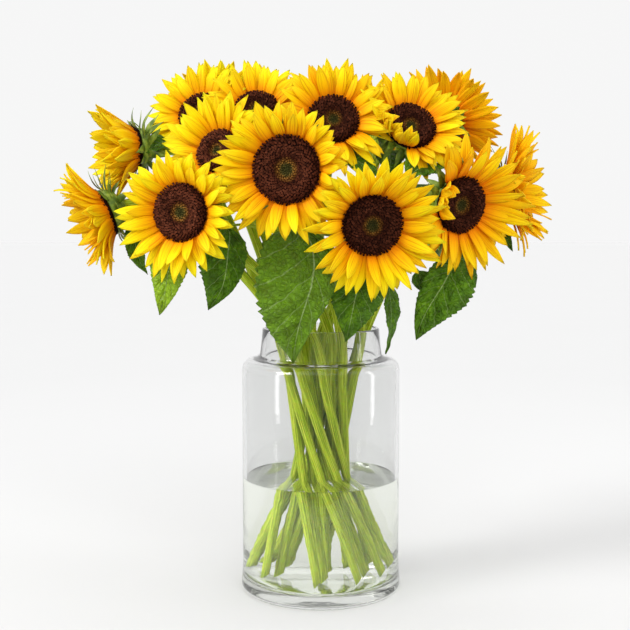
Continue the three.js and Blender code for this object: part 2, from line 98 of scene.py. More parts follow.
def add_node(tree, kind, inputs=None, **settings):
    """The outputs of a new node, with its settings and then its inputs set."""
    node = tree.nodes.new(f"ShaderNode{kind}")
    for name, value in settings.items():
        setattr(node, name, value)
    feed(tree, node, inputs or {})
    return node.outputs


def reckoned(tree, operation, first, second):
    """A number worked out from two others."""
    return add_node(tree, "Math", {0: first, 1: second}, operation=operation)[0]


def faded(tree, value, start, end, low, high, **settings):
    """A number that goes from low to high while a value goes from start to end."""
    span = {"Value": value, "From Min": start, "From Max": end, "To Min": low, "To Max": high}
    return add_node(tree, "MapRange", span, **settings)[0]


def noise(tree, vector, scale, detail=2, roughness=0.5):
    """A cloudy pattern of numbers from 0 to 1."""
    look = {"Vector": vector, "Scale": scale, "Detail": detail, "Roughness": roughness}
    return add_node(tree, "TexNoise", look)["Fac"]


def ramp(tree, share, *stops):
    """A colour that runs through (position, colour) stops."""
    node = tree.nodes.new("ShaderNodeValToRGB")
    tree.links.new(share, node.inputs["Fac"])
    elements = node.color_ramp.elements
    while len(elements) < len(stops):
        elements.new(0.5)
    for element, (position, colour) in zip(elements, stops):
        element.position = position
        element.color = (*colour, 1)
    return node.outputs["Color"]


def painted_floor():
    """Matt pale paint, faintly mottled, and painted a little darker away from the vase: painted
    shade that lets the far floor meet the pale air without a seam.
    """
    made, tree, shader = new_material("pale_floor")
    place = add_node(tree, "TexCoord")["Object"]
    mottle = ramp(tree, noise(tree, place, 3.0), (0.3, (0.995,) * 3), (0.7, (1.0,) * 3))
    away = add_node(tree, "VectorMath", {0: place}, operation="LENGTH")["Value"]
    tone = faded(tree, away, *TABLE_FADES, TABLE_TONE, TABLE_FAR_TONE)
    paint = add_node(tree, "VectorMath", {0: mottle, 1: tone}, operation="MULTIPLY")[0]
    feed(tree, shader, {"Base Color": paint, "Roughness": 1.0, "Specular IOR Level": 0.0})
    return made


bpy.ops.mesh.primitive_plane_add(size=1)
floor = bpy.context.object
floor.name = "studio_table"
bpy.ops.object.mode_set(mode="EDIT")
bpy.ops.transform.resize(value=(TABLE_WIDTH, TABLE_BACK - TABLE_FRONT, 1))
bpy.ops.transform.translate(value=(0, (TABLE_BACK + TABLE_FRONT) / 2, 0))
bpy.ops.object.mode_set(mode="OBJECT")
floor.data.materials.append(painted_floor())


def studio_air():
    """Pale air behind and above the vase, dimmer on the camera's side."""
    made = bpy.data.worlds.new("studio_air")
    made.use_nodes = True
    tree = made.node_tree
    way = add_node(tree, "SeparateXYZ", {0: add_node(tree, "TexCoord")["Generated"]})
    soft = {"interpolation_type": "SMOOTHSTEP"}
    behind = faded(tree, way["Y"], -0.95, -0.05, AIR_IN_FRONT, AIR_BEHIND, **soft)
    above = faded(tree, way["Z"], 0.3, 0.75, 0, AIR_ABOVE, **soft)
    feed(tree, tree.nodes["Background"], {"Color": reckoned(tree, "MAXIMUM", behind, above)})
    return made


def aimed(spot):
    """The turn that makes a lamp at the spot look at the middle of the object."""
    return (Vector(LIT_SPOT) - Vector(spot)).to_track_quat("-Z", "Y").to_euler()


scene.world = studio_air()
for name, way, strength, softness in SUNS:
    bpy.ops.object.light_add(type="SUN", rotation=Vector(way).to_track_quat("Z", "Y").to_euler())
    lamp = bpy.context.object
    lamp.name = name
    lamp.data.energy = strength
    lamp.data.angle = math.radians(softness)
    if name == "soft_fill":
        lamp.visible_glossy = False
        lamp.visible_transmission = False
for name, spot, wide, tall, power in STRIPS:
    bpy.ops.object.light_add(type="AREA", location=spot, rotation=aimed(spot))
    lamp = bpy.context.object
    lamp.name = name
    lamp.data.shape = "RECTANGLE"
    lamp.data.size = wide
    lamp.data.size_y = tall
    lamp.data.energy = power

scene.cycles.max_bounces = LIGHT_BOUNCES
scene.cycles.transmission_bounces = LIGHT_BOUNCES
scene.cycles.transparent_max_bounces = LIGHT_BOUNCES

# ---------------------------------------------------------------- glass vase
# A blown jar of clear soda glass: thick flat foot, straight wall, round shoulder and a
# short neck with a fire-polished lip. It is drawn up ring by ring, outside then inside.
VASE_HEIGHT = 250
BODY_RADIUS = 75
HEEL_RADIUS = 76.4
RIM_RADIUS = 55.5
NECK_RADIUS = 56.5
NECK_MIDDLE = 236
SHOULDER_TOP = 222
SHOULDER_ROUND = 12
WALL = 3.5
BASE_THICKNESS = 12
BASE_DIP = 0.4
HEEL_ROUND = 5
INNER_HEEL = 7
VASE_SIDES = 112
WATER_LEVEL = 107.5
POLE_RADIUS = 6


def arc(r, z, radius, start, end, steps):
    """Points of a round corner about (r, z), between two angles in degrees."""
    turns = [math.radians(start + (end - start) * i / steps) for i in range(steps + 1)]
    return [(r + radius * math.cos(t), z + radius * math.sin(t)) for t in turns]


def only(piece):
    """Selects one piece and nothing else."""
    bpy.ops.object.select_all(action="DESELECT")
    piece.select_set(True)
    bpy.context.view_layer.objects.active = piece


def face_outward():
    """Turns the edited piece's faces outward and ends the edit."""
    bpy.ops.mesh.select_all(action="SELECT")
    bpy.ops.mesh.normals_make_consistent(inside=False)
    bpy.ops.object.mode_set(mode="OBJECT")


def drawn_up(name, rings, sides):
    """A disc extruded ring by ring through (radius, height) pairs, closed at both ends."""
    radius, height = rings[0]
    bpy.ops.mesh.primitive_circle_add(
        vertices=sides, radius=radius * MM, fill_type="NGON", location=(0, 0, height * MM)
    )
    piece = bpy.context.object
    piece.name = name
    bpy.ops.object.transform_apply()
    bpy.ops.object.mode_set(mode="EDIT")
    bpy.ops.mesh.select_all(action="SELECT")
    for (r0, z0), (r1, z1) in zip(rings, rings[1:]):
        rise = {"value": (0, 0, (z1 - z0) * MM)}
        bpy.ops.mesh.extrude_region_move(TRANSFORM_OT_translate=rise)
        bpy.ops.transform.resize(value=(r1 / r0, r1 / r0, 1), center_override=(0, 0, z1 * MM))
    face_outward()
    return piece


def vase_rings():
    """The wall's section as (radius, height) pairs: outside from foot to rim, then inside."""
    centre = BODY_RADIUS - SHOULDER_ROUND
    bottom = SHOULDER_TOP - SHOULDER_ROUND
    lip = WALL / 2
    outside = (
        [(POLE_RADIUS, 0.5), (50, 0.5), (58, 0.2), (62, 0)]
        + arc(HEEL_RADIUS - HEEL_ROUND, HEEL_ROUND, HEEL_ROUND, -90, 0, 6)
        + [(HEEL_RADIUS - 0.1, 9), (BODY_RADIUS + 0.5, 16), (BODY_RADIUS, 26), (BODY_RADIUS, 120)]
        + arc(centre, bottom, SHOULDER_ROUND, 0, 84, 9)
        + [(NECK_RADIUS + 4.6, SHOULDER_TOP + 0.2), (NECK_RADIUS + 2.2, SHOULDER_TOP + 1.6)]
        + [(NECK_RADIUS + 1.3, SHOULDER_TOP + 4), (NECK_RADIUS, NECK_MIDDLE)]
    )
    rim = arc(RIM_RADIUS - lip, VASE_HEIGHT - lip, lip, 0, 180, 8)
    inside = (
        [(NECK_RADIUS - WALL, NECK_MIDDLE), (NECK_RADIUS - WALL, SHOULDER_TOP + 3)]
        + [(NECK_RADIUS - 2, SHOULDER_TOP - 1), (centre - 3, SHOULDER_TOP - WALL)]
        + arc(centre, bottom, SHOULDER_ROUND - WALL, 90, 0, 7)
        + [(BODY_RADIUS - WALL, 120), (BODY_RADIUS - WALL, BASE_THICKNESS + HEEL_ROUND + 3)]
        + arc(BODY_RADIUS - WALL - INNER_HEEL, BASE_THICKNESS + INNER_HEEL, INNER_HEEL, -8, -90, 6)
        + [(POLE_RADIUS, BASE_THICKNESS - BASE_DIP)]
    )
    return outside + rim + inside


def bumped(tree, height, strength, depth):
    """The normal of a surface that a pattern raises, by up to a depth in millimetres."""
    relief = {"Height": height, "Strength": strength, "Distance": depth * MM}
    return add_node(tree, "Bump", relief)[0]


def blended(tree, share, first, second, way="MIX"):
    """Two colours mixed, or multiplied, by a share of the second."""
    colours = {"Factor": share, "A": first, "B": second}
    return add_node(tree, "Mix", colours, data_type="RGBA", blend_type=way)["Result"]


def mixed_in(tree, shader, share, other):
    """Ends a material with its shader and a share of another one."""
    both = add_node(tree, "MixShader", {0: share, 1: shader.outputs[0], 2: other[0]})[0]
    feed(tree, tree.nodes["Material Output"], {"Surface": both})


def clear_material(name, bends, tint, wet_tint, ripple, ripple_size, shade):
    """Clear stuff that bends light and lets soft light through to what stands in it. Its tint is
    painted lighter below the water line, standing in for the weaker reflection where glass meets
    water."""
    made, tree, shader = new_material(name)
    place = add_node(tree, "TexCoord")["Object"]
    height = add_node(tree, "SeparateXYZ", {0: place})["Z"]
    # Painted light: below the water line the tint is lighter, in place of the weaker reflection of
    # glass against water.
    dry = reckoned(tree, "GREATER_THAN", height, WATER_LEVEL * MM)
    feed(tree, shader, {
        "Base Color": blended(tree, dry, (*wet_tint, 1), (*tint, 1)),
        "Normal": bumped(tree, noise(tree, place, ripple_size), ripple, 1),
        "Roughness": 0.0, "IOR": bends, "Transmission Weight": 1.0,
    })
    passing = add_node(tree, "BsdfTransparent", {"Color": (*shade, 1)})
    mixed_in(tree, shader, add_node(tree, "LightPath")["Is Shadow Ray"], passing)
    return made


vase = drawn_up("clear_glass_vase", vase_rings(), VASE_SIDES)
vase.data.materials.append(clear_material(
    "clear_soda_glass", bends=1.47, tint=(0.865, 0.87, 0.865), wet_tint=(0.965, 0.97, 0.96),
    ripple=0.05, ripple_size=14, shade=(0.94, 0.94, 0.94)
))
only(vase)
bpy.ops.object.shade_smooth_by_angle(angle=math.radians(35))
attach(vase, "root")
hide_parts("glass_vase")

# ---------------------------------------------------------------- water
# Water up to a little under half the vase, with a meniscus that climbs the wall. Its side
# and floor reach half a millimetre into the glass, so that light bends as it should.
INTO_GLASS = 0.5
# Each ring of the meniscus: how far in from the wall, and how far above the level.
MENISCUS = [(0, 0.6), (0.7, 0.5), (1.4, 0.15), (2.5, 0.05), (5, 0)]


def water_rings():
    """The water's section: a floor, a round corner, the wall, a meniscus and a flat top."""
    radius = BODY_RADIUS - WALL + INTO_GLASS
    floor_at = BASE_THICKNESS - BASE_DIP - INTO_GLASS
    return (
        [(POLE_RADIUS, floor_at), (radius - INNER_HEEL, floor_at)]
        + arc(radius - INNER_HEEL, floor_at + INNER_HEEL, INNER_HEEL, -80, 0, 6)
        + [(radius - inward, WATER_LEVEL + climb) for inward, climb in MENISCUS]
        + [(POLE_RADIUS, WATER_LEVEL)]
    )


water = drawn_up("water_in_vase", water_rings(), VASE_SIDES)
water.data.materials.append(clear_material(
    "still_water", bends=1.333, tint=(0.96, 0.995, 0.92), wet_tint=(0.97, 0.99, 0.94),
    ripple=0.4, ripple_size=60, shade=(0.74, 0.75, 0.74)
))
only(water)
bpy.ops.object.shade_smooth_by_angle(angle=math.radians(40))
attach(water, "root")
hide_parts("water")

# ---------------------------------------------------------------- where the flowers stand
# The bouquet's plan, in millimetres: each head's middle and the way it faces, the size of
# its disc and petals, how far the petals cup forward, and the stem's place in the bundle.
STEM_RADIUS = 4.8
WAIST_HEIGHT = 138
STEM_FOOT = 18
NECK_POINT_HEIGHT = 250
CALYX_DEPTH = 19
# Each ring of the bundle: its radius at the waist, and its lean below and above the waist.
CENTRE = (0, 0.04, 0.08)
INNER = (11.6, 0.27, 0.18)
OUTER = (22.9, 0.37, 0.34)
# Each row: number, middle, facing, disc width, petal length, cup angle in degrees, ring of
# the bundle, place on that ring in degrees, and how far the neck reaches behind the head.
FLOWERS = [
    ("01", (-29, -120, 392), (-0.2, -0.97, -0.08), 57, 32, 32, OUTER, -8, 34),
    ("02", (-119, -105, 357), (-0.33, -0.94, -0.02), 49, 32, 32, OUTER, -42, 34),
    ("03", (42, -125, 346), (0.2, -0.95, -0.22), 51, 35, 30, OUTER, 28, 30),
    ("04", (122, -75, 364), (0.48, -0.86, -0.2), 49, 38, 30, OUTER, 66, 30),
    ("05", (178, -4, 380), (0.92, -0.36, 0.08), 46, 42, 48, OUTER, 104, 36),
    ("06", (121, 51, 449), (0.42, 0.7, 0.5), 44, 38, 34, OUTER, 144, 26),
    ("07", (81, -35, 436), (0.2, -0.85, 0.45), 46, 33, 30, INNER, 60, 28),
    ("08", (11, -45, 441), (0.05, -0.93, 0.33), 46, 34, 30, CENTRE, -76, 34),
    ("09", (-60, -16, 454), (-0.05, -0.8, 0.6), 40, 35, 30, INNER, -84, 34),
    ("10", (-92, -60, 412), (-0.45, -0.8, 0.35), 40, 34, 32, INNER, -12, 34),
    ("11", (-116, 14, 454), (-0.35, -0.8, 0.45), 40, 34, 30, OUTER, -156, 24),
    ("12", (-104, 106, 476), (-0.15, 0.4, 0.9), 40, 34, 42, INNER, -156, 24),
    ("13", (-172, -20, 417), (-0.9, -0.4, -0.08), 40, 40, 70, OUTER, -114, 34),
    ("14", (-194, -50, 357), (-0.87, -0.32, -0.38), 44, 36, 62, OUTER, -78, 36),
    ("15", (48, 69, 445), (-0.05, 0.9, 0.4), 40, 34, 32, INNER, 132, 36),
]
chance = np.random.default_rng(15)


def stem_line(ring, slot, z):
    """Where the stem passes a height on its straight run through the vase."""
    radius, lean_down, lean_up = ring
    turn = math.radians(slot)
    rise = z - WAIST_HEIGHT
    lean = (lean_down if rise < 0 else lean_up) * rise
    x = radius * math.cos(turn) + lean * math.sin(turn)
    y = radius * math.sin(turn) - lean * math.cos(turn)
    return np.array((x, y, z))


def smooth_curve(knots, steps):
    """Points on a centripetal curve through the knots."""
    knots = [2 * knots[0] - knots[1]] + knots + [2 * knots[-1] - knots[-2]]
    points = []
    for p0, p1, p2, p3 in zip(knots, knots[1:], knots[2:], knots[3:]):
        d0, d1, d2 = (math.sqrt(np.linalg.norm(b - a)) for a, b in ((p0, p1), (p1, p2), (p2, p3)))
        m1 = ((p1 - p0) / d0 - (p2 - p0) / (d0 + d1) + (p2 - p1) / d1) * d1
        m2 = ((p2 - p1) / d1 - (p3 - p1) / (d1 + d2) + (p3 - p2) / d2) * d1
        for t in np.linspace(0, 1, steps, endpoint=False):
            points.append(
                (2 * t**3 - 3 * t**2 + 1) * p1 + (t**3 - 2 * t**2 + t) * m1
                + (3 * t**2 - 2 * t**3) * p2 + (t**3 - t**2) * m2
            )
    return points + [knots[-2]]


def stem_path(at, faces, ring, slot, neck):
    """The stem's middle line, from its cut foot to the back of its head."""
    facing = np.array(faces) / np.linalg.norm(faces)
    end = np.array(at) - CALYX_DEPTH * facing
    bend = end - neck * facing - np.array((0, 0, 0.3 * neck))
    waist = stem_line(ring, slot, WAIST_HEIGHT)
    middle = stem_line(ring, slot, (WAIST_HEIGHT + NECK_POINT_HEIGHT) / 2)
    neck_point = stem_line(ring, slot, NECK_POINT_HEIGHT)
    upper = smooth_curve([waist, middle, neck_point, bend, end], 10)
    foot = stem_line(ring, slot, STEM_FOOT)
    lower = [foot + (waist - foot) * t for t in np.linspace(0, 1, 12, endpoint=False)]
    return np.array(lower + upper)


def head_place(at, faces):
    """A head's own frame in millimetres: +Z is the way it faces, +Y is up across its face."""
    facing = Vector(faces).normalized()
    right = Vector((0, 0, 1)).cross(facing).normalized()
    up = facing.cross(right)
    place = np.eye(4)
    place[:3, 0], place[:3, 1], place[:3, 2], place[:3, 3] = right, up, facing, at
    return place


def placed(points, place):
    return points @ place[:3, :3].T + place[:3, 3]


# ---------------------------------------------------------------- stems
# Green, finely ribbed and hairy flower stems, cut off slantwise at the foot. One straight
# stem is extruded from a ribbed section, and each copy is bent along its flower's path.
STEM_SIDES = 20
STEM_ROWS = 56
RIB_DEPTH = 0.07
CUT_SLOPE = 0.85
CUT_REACH = 14
STEM_TAPER = (0.76, 0.84, 0.94, 1.0, 0.98, 0.95, 0.97, 1.2)
HAIRY_PART = (0.42, 0.98)
HAIRS_PER_MM = 2.2
HAIR_LENGTH = 1.7


def points_of(piece):
    """A mesh's vertices as an array, in millimetres."""
    found = np.zeros(3 * len(piece.data.vertices))
    piece.data.vertices.foreach_get("co", found)
    return found.reshape(-1, 3) / MM


def gathered(name, masters, shapes, **marks):
    """One piece from copies of master meshes, each in its master's material and with its
    own points in millimetres. marks are per-point values, one array for each copy."""
    points, faces, uvs, looks, kinds, first = [], [], [], {}, [], 0
    for master, shape in zip(masters, shapes):
        mesh = master.data
        points.append(shape)
        faces += [tuple(first + v for v in face.vertices) for face in mesh.polygons]
        kinds += [looks.setdefault(mesh.materials[0], len(looks))] * len(mesh.polygons)
        if mesh.uv_layers:
            flat = np.zeros(2 * len(mesh.loops))
            mesh.uv_layers[0].data.foreach_get("uv", flat)
            uvs.append(flat)
        first += len(shape)
    made = bpy.data.meshes.new(name)
    made.from_pydata(np.concatenate(points) * MM, [], faces)
    for look in looks:
        made.materials.append(look)
    made.polygons.foreach_set("material_index", kinds)
    if uvs:
        made.uv_layers.new(name="UVMap").data.foreach_set("uv", np.concatenate(uvs))
    for mark, values in marks.items():
        wide = np.concatenate(values)
        kind = "FLOAT" if wide.ndim == 1 else "FLOAT_VECTOR"
        layer = made.attributes.new(mark, kind, "POINT")
        layer.data.foreach_set("value" if wide.ndim == 1 else "vector", wide.ravel())
    made.shade_smooth()
    piece = bpy.data.objects.new(name, made)
    scene.collection.objects.link(piece)
    return piece


def frames_along(path):
    """At each point of a path, its direction and two cross directions that hardly turn."""
    along = np.gradient(path, axis=0)
    along /= np.linalg.norm(along, axis=1)[:, None]
    across = np.array((1.0, 0.0, 0.0))
    sides = []
    for step in along:
        across = across - step * (across @ step)
        across /= np.linalg.norm(across)
        sides.append(across)
    sides = np.array(sides)
    return along, sides, np.cross(along, sides)


def bent_along(points, path, share, thickness):
    """Lays a straight bar's points round a path: x and y across, share how far along it."""
    along, side, third = frames_along(path)
    runs = np.concatenate(([0], np.cumsum(np.linalg.norm(np.diff(path, axis=0), axis=1))))
    runs /= runs[-1]
    at = [np.stack([np.interp(share, runs, field[:, k]) for k in range(3)], axis=1)
          for field in (path, side, third)]
    return at[0] + (points[:, :1] * at[1] + points[:, 1:2] * at[2]) * thickness[:, None]


def straight_bar(name, sides, rows, rib):
    """A ribbed bar one metre tall, to be bent later."""
    bpy.ops.mesh.primitive_circle_add(vertices=sides, radius=MM, fill_type="NGON")
    bar = bpy.context.object
    bar.name = name
    for vertex in bar.data.vertices:
        if vertex.index % 2:
            vertex.co *= 1 - rib
    bpy.ops.object.mode_set(mode="EDIT")
    bpy.ops.mesh.select_all(action="SELECT")
    for _ in range(rows):
        bpy.ops.mesh.extrude_region_move(TRANSFORM_OT_translate={"value": (0, 0, 1 / rows)})
    face_outward()
    return bar


def stem_material():
    """Fibrous green that follows the stem, with faint specks."""
    made, tree, shader = new_material("ribbed_green_stem")
    grain = add_node(tree, "Attribute", attribute_name="grain")["Vector"]
    stretched = add_node(tree, "Mapping", {"Vector": grain, "Scale": (1.3, 1.3, 0.03)})[0]
    fibre = noise(tree, stretched, 1.0, 4)
    tone = ramp(tree, fibre, (0.33, (0.17, 0.26, 0.003)), (0.49, (0.42, 0.56, 0.008)),
                (0.68, (0.79, 0.87, 0.11)))
    specks = add_node(tree, "TexNoise", {"Vector": grain, "Scale": 0.35})["Color"]
    feed(tree, shader, {
        "Base Color": blended(tree, 0.35, tone, specks, "MULTIPLY"),
        "Normal": bumped(tree, fibre, 0.8, 0.8),
        "Roughness": 0.6, "Specular IOR Level": 0.2,
        "Subsurface Weight": 0.12, "Subsurface Radius": (MM, 2 * MM, 0.4 * MM),
    })
    return made


def hair_material():
    made, tree, shader = new_material("pale_plant_hair")
    patches = noise(tree, add_node(tree, "TexCoord")["Object"], 60)
    tone = ramp(tree, patches, (0.3, (0.38, 0.47, 0.13)), (0.7, (0.62, 0.68, 0.34)))
    feed(tree, shader, {"Base Color": tone, "Roughness": 0.6})
    return made


def hair_master():
    """A fine stiff hair: a three-sided spike, one millimetre tall."""
    bpy.ops.mesh.primitive_cone_add(vertices=3, radius1=0.09 * MM, radius2=0, depth=MM,
                                    location=(0, 0, 0.4 * MM))
    bpy.ops.object.transform_apply()
    hair = bpy.context.object
    hair.name = "hair_master"
    return hair


def hairs_on(path, radius, start, end):
    """Points for hairs that stand out all round a stem, between two shares of its length."""
    along, side, third = frames_along(path)
    length = np.linalg.norm(np.diff(path, axis=0), axis=1).sum()
    count = int(length * (end - start) * HAIRS_PER_MM)
    shapes = []
    for share, turn, tall, lean in zip(chance.uniform(start, end, count),
                                       chance.uniform(0, 2 * math.pi, count),
                                       chance.uniform(0.5, 1.2, count),
                                       chance.normal(0, 0.35, count)):
        spot = share * (len(path) - 1)
        k = min(int(spot), len(path) - 2)
        out = side[k] * math.cos(turn) + third[k] * math.sin(turn)
        foot = path[k] + (path[k + 1] - path[k]) * (spot - k) + out * (radius * 0.96)
        aim = out + lean * along[k]
        aim /= np.linalg.norm(aim)
        first = np.cross(aim, along[k])
        first /= np.linalg.norm(first)
        turned = np.stack((first, np.cross(aim, first), aim), axis=1)
        scaled = HAIR_POINTS * (1, 1, HAIR_LENGTH * tall)
        shapes.append(scaled @ turned.T + foot)
    return shapes


def bar_shape(path, thickness, cut):
    """A stem's or stalk's points, and their places on the unbent bar. The thickness goes
    from foot to top, and the foot is slanted."""
    length = np.linalg.norm(np.diff(path, axis=0), axis=1).sum()
    share = BAR_POINTS[:, 2] * MM
    thick = np.interp(share, np.linspace(0, 1, len(thickness)), thickness)
    shape = bent_along(BAR_POINTS, path, share, thick)
    slant = cut * thick * BAR_POINTS[:, 0] * np.clip(1 - share * length / CUT_REACH, 0, 1)
    shape += np.outer(slant, (path[1] - path[0]) / np.linalg.norm(path[1] - path[0]))
    grain = np.stack((BAR_POINTS[:, 0] * thick, BAR_POINTS[:, 1] * thick, share * length), axis=1)
    return shape, grain


bar = straight_bar("stem_master", STEM_SIDES, STEM_ROWS, RIB_DEPTH)
hair = hair_master()
BAR_POINTS = points_of(bar)
HAIR_POINTS = points_of(hair)
bar.data.materials.append(stem_material())
hair.data.materials.append(hair_material())
stem_paths = {}

for number, (id_, at, faces, *_, ring, slot, neck) in enumerate(FLOWERS):
    path = stem_path(at, faces, ring, slot, neck)
    stem_paths[id_] = path
    radius = STEM_RADIUS * (1 + 0.05 * math.sin(5.1 * number))
    shape, grain = bar_shape(path, radius * np.array(STEM_TAPER), CUT_SLOPE)
    hairs = hairs_on(path, radius, *HAIRY_PART)
    spots = [np.full((len(HAIR_POINTS), 3), k, float) for k in range(len(hairs))]
    stem = gathered(f"stem_{id_}", [bar] + [hair] * len(hairs), [shape] + hairs,
                    grain=[grain] + spots)
    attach(stem, "root")
    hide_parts(f"sunflower_{id_}_leafy_stem")

# ---------------------------------------------------------------- cups behind the heads
# The green cup that carries each head, and its rows of pointed bracts, which reach out
# between and behind the petals. Cup and bract are each modelled once.
CUP_RADIUS = 24.5
CUP_SIDES = 26
CUP_RINGS = [
    (0.2, -CALYX_DEPTH - 3), (5.2, -CALYX_DEPTH - 2.5), (6.0, -CALYX_DEPTH),
    (11, -CALYX_DEPTH + 2.5), (17, -14), (21, -10), (23.4, -6), (23.6, -3.6), (22, -3.4), (1, -3.4),
]
BRACT_LENGTH = 22
BRACT_WIDTH = 7.5
BRACT_OUTLINE = [0.55, 0.9, 1.0, 0.85, 0.55, 0.24, 0.03]
BRACT_THICKNESS = 0.035
# Each rank: its place as a share of the disc's radius, height, count, length and tilt.
BRACT_RANKS = [(0.97, -5.5, 11, 0.9, 24), (0.9, -8.5, 12, 1.05, -4), (0.74, -12.5, 9, 0.8, -22)]
SHORT_BRACTS = {"06": 0.5, "15": 0.8}


def blade_grid(name, columns, widths):
    """A flat blade one unit long along +Y: a grid whose rows are drawn in to an outline."""
    rows = len(widths) - 1
    bpy.ops.mesh.primitive_grid_add(x_subdivisions=columns, y_subdivisions=rows, size=MM,
                                    location=(0, 0.5 * MM, 0), calc_uvs=True)
    bpy.ops.object.transform_apply()
    blade = bpy.context.object
    blade.name = name
    for vertex in blade.data.vertices:
        vertex.co.x *= widths[round(vertex.co.y / MM * rows)]
    return blade


def thicken(blade, thickness):
    only(blade)
    bpy.ops.object.modifier_add(type="SOLIDIFY")
    blade.modifiers[-1].thickness = thickness * MM
    blade.modifiers[-1].offset = 0
    bpy.ops.object.modifier_apply(modifier=blade.modifiers[-1].name)
    return blade


def bract_material():
    made, tree, shader = new_material("bract_green")
    patches = noise(tree, add_node(tree, "TexCoord")["Object"], 130, 5)
    tone = ramp(tree, patches, (0.3, (0.03, 0.062, 0.003)), (0.5, (0.11, 0.18, 0.008)),
                (0.72, (0.33, 0.41, 0.05)))
    feed(tree, shader, {"Base Color": tone, "Normal": bumped(tree, patches, 0.4, 0.5),
                        "Roughness": 0.6})
    return made


def run_and_climb(bends, length):
    """How far out and up a strip has come at each joint, when its equal parts lie at bends."""
    part = length / len(bends)
    return [np.concatenate(([0], np.cumsum(way(bends)))) * part for way in (np.cos, np.sin)]


def round_the_head(outward, across, height, turn):
    """A blade's points in its head's frame, turned to the blade's place in the ring."""
    c, s = math.cos(turn), math.sin(turn)
    return np.stack((outward * c + across * s, outward * s - across * c, height), axis=1)


def laid_bract(radius, turn, z, rise, length, width, curl, sway):
    """A bract's points in its head's frame, from a rim radius, bending as it goes out."""
    share = BRACT_POINTS[:, 1]
    angle = rise + curl * share
    steps = np.linspace(0, 1, 9)
    run, climb = run_and_climb(rise + curl * steps[:-1], length)
    deep = BRACT_POINTS[:, 2] * length * 0.3
    outward = radius + np.interp(share, steps, run) - np.sin(angle) * deep
    height = z + np.interp(share, steps, climb) + np.cos(angle) * deep
    height += 0.9 * (BRACT_POINTS[:, 0] * 2) ** 2 * (1 - share)
    across = BRACT_POINTS[:, 0] * width + sway * share**2
    return round_the_head(outward, across, height, turn)


bract = thicken(blade_grid("bract_master", 2, BRACT_OUTLINE), BRACT_THICKNESS)
cup = drawn_up("cup_master", CUP_RINGS, CUP_SIDES)
BRACT_POINTS = points_of(bract)
CUP_POINTS = points_of(cup)
bract.data.materials.append(bract_material())
cup.data.materials.append(bract.data.materials[0])

for id_, at, faces, disc, *_ in FLOWERS:
    place = head_place(at, faces)
    wide = disc / 2 / CUP_RADIUS
    shapes = [placed(CUP_POINTS * (wide, wide, 1), place)]
    for share, z, count, long, tilt in BRACT_RANKS:
        # The tilt also sets where the rank starts, so that the ranks are staggered.
        long *= BRACT_LENGTH * SHORT_BRACTS.get(id_, 1)
        for k in range(count):
            turn = 2 * math.pi * (k + 0.5 * chance.uniform(-0.6, 0.6)) / count + tilt
            rise = math.radians(tilt + chance.normal(0, 10))
            length = long * chance.uniform(0.8, 1.15)
            width = BRACT_WIDTH * chance.uniform(0.85, 1.1)
            curl = math.radians(chance.normal(-25, 28))
            laid = laid_bract(share * disc / 2 - 1, turn, z, rise, length, width, curl,
                              chance.normal(0, 2.5))
            shapes.append(placed(laid, place))
    green = gathered(f"cup_and_bracts_{id_}", [cup] + [bract] * (len(shapes) - 1), shapes)
    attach(green, "root")
    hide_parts(f"sunflower_{id_}_leafy_stem")

# ---------------------------------------------------------------- petals
# Golden ray petals in three overlapping layers: orange at the root, lemon at the tip, with
# fine lengthwise lines. One channelled petal is shaped, and every copy is curled anew.
PETAL_WIDTH = 10.4
PETAL_OUTLINE = [0.5, 0.72, 0.9, 0.99, 1.0, 0.93, 0.76, 0.45, 0.03]
PETAL_CHANNEL = [0.0, -0.45, 0.25, -0.45, 0.0]
CHANNEL_DEPTH = 0.03
PETAL_THICKNESS = 0.014
ROOT_DEPTH = -2.2
ROOT_INSET = 3
# Each layer: how many petals, how much more they cup forward in degrees, and their length.
PETAL_LAYERS = [(22, -14, 1.0), (21, -3, 0.97), (16, 9, 0.86)]
# How deep each head's gold is: partly the head's own amber, partly painted shade.
PETAL_AMBER_AND_SHADE = {
    "01": 0.36, "02": 0.02, "03": 0.24, "04": 0.55, "05": 0.60, "06": 0.85, "07": 0.30, "08": 0.30,
    "09": 0.12, "10": 0.05, "11": 0.03, "12": 0.10, "13": 0.30, "14": 0.42, "15": 0.60,
}
# Towards which side some heads have longer petals, in degrees, and by how much.
LONG_SIDE = {
    "01": (205, 0.2), "02": (235, 0.15), "03": (-55, 0.12), "04": (-10, 0.2), "10": (160, 0.15),
}
# Where petals curl in over the disc: direction and half the span in degrees, and length.
CURLED_IN = {"04": (168, 36, 0.72), "07": (218, 44, 0.8)}
CURLED_RISE = 58
SIDE_ON = ("05", "13", "14")


